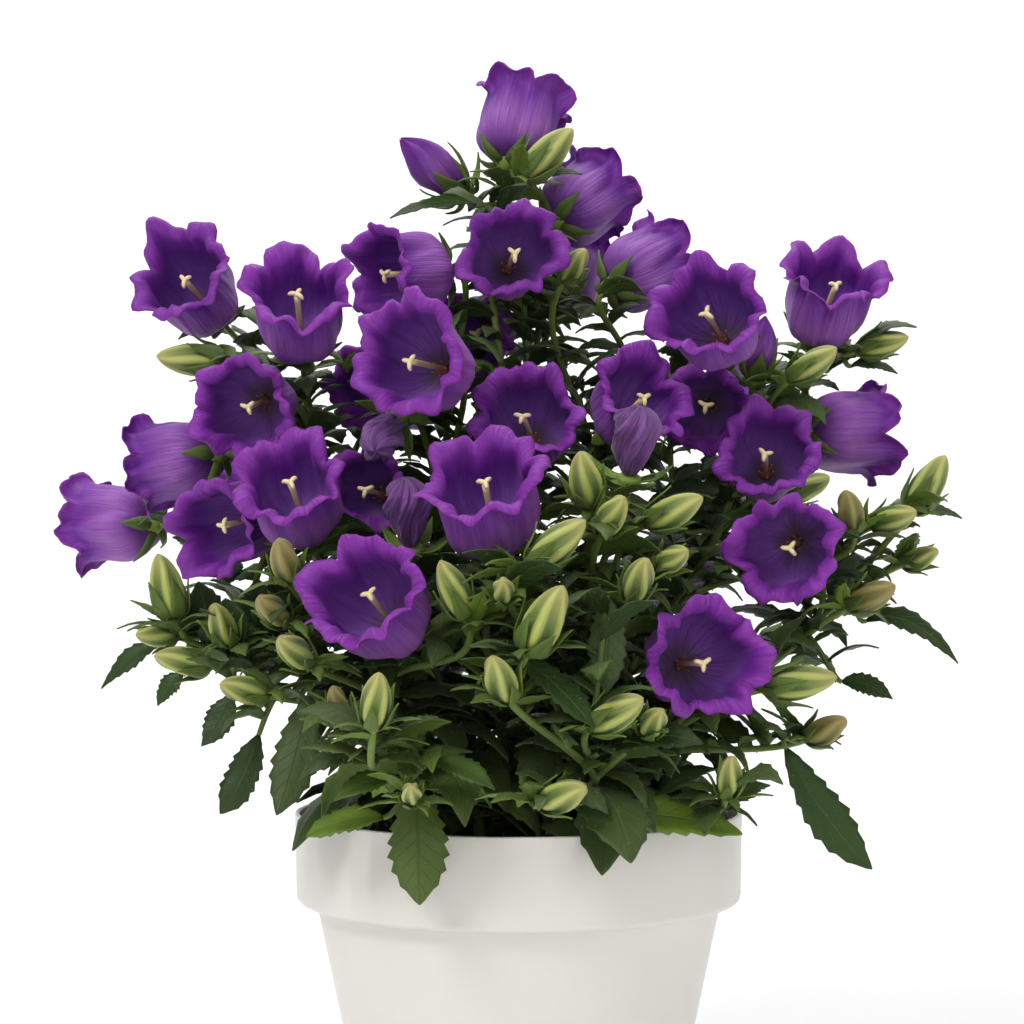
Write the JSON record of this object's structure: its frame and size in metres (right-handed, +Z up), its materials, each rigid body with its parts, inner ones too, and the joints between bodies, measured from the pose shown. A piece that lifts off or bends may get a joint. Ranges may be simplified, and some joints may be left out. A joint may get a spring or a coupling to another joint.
{
  "type": "potted bell-flowered campanula",
  "caption": "Bushy campanula with violet bell flowers, ribbed buds and toothed leaves, standing in a plain white plastic pot with a wide lip.",
  "frame": {"origin": "middle of the pot's flat base, on the surface that it stands on", "axes": "+Z up along the pot's axis, -Y towards the viewer, +X to the viewer's right"},
  "size_m": [0.344, 0.2754, 0.4201],
  "materials": {
    "pot": "warm white, satin",
    "soil": "dark crumbly potting soil",
    "petals": "violet, velvety, paler ribs outside",
    "petals_spent": "withered dark violet, dry",
    "foliage": "matt green with fine hairs, paler buds"
  },
  "bodies": {
    "root": {"pot": "pot", "soil": "soil", "bloom_top": "petals", "bloom_top_front": "petals", "bloom_opening_top": "petals", "bloom_top_right": "petals", "bloom_right_behind": "petals", "bloom_left_high": "petals", "bloom_left_upright": "petals", "bloom_left_of_centre": "petals", "bloom_large_left": "petals", "bloom_centre": "petals", "bloom_centre_low": "petals", "bloom_right_of_centre": "petals", "bloom_right_upper": "petals", "bloom_right_high": "petals", "bloom_right_dark": "petals", "bloom_right_middle": "petals", "bloom_right_side": "petals", "bloom_left_side": "petals", "bloom_left_outer": "petals", "bloom_left_front": "petals", "bloom_left_up_front": "petals", "bloom_left_hanging": "petals", "bloom_dark_left": "petals", "bloom_front_low": "petals", "bloom_right_low": "petals", "bloom_front_right": "petals", "bloom_behind_left": "petals", "bloom_left_inner": "petals", "bloom_opening_right": "petals", "bloom_withered_front": "petals_spent", "bloom_withered_right": "petals_spent", "bloom_withered_left": "petals_spent", "bloom_back_top": "petals", "bloom_back_left_high": "petals", "bloom_back_right_high": "petals", "bloom_back_left_side": "petals", "bloom_back_middle": "petals", "bloom_back_right_low": "petals", "bloom_back_left_low": "petals", "stem_centre_tall": "foliage", "stem_top_right": "foliage", "stem_top_left": "foliage", "stem_left_high": "foliage", "stem_left_middle": "foliage", "stem_far_left": "foliage", "stem_front_left": "foliage", "stem_front_young": "foliage", "stem_centre_front": "foliage", "stem_centre_right": "foliage", "stem_right_high": "foliage", "stem_right_middle": "foliage", "stem_far_right": "foliage", "stem_lower_right": "foliage", "stem_front_right": "foliage", "stem_back_left": "foliage", "stem_back_middle": "foliage", "stem_back_right": "foliage"}
  },
  "joints": []
}
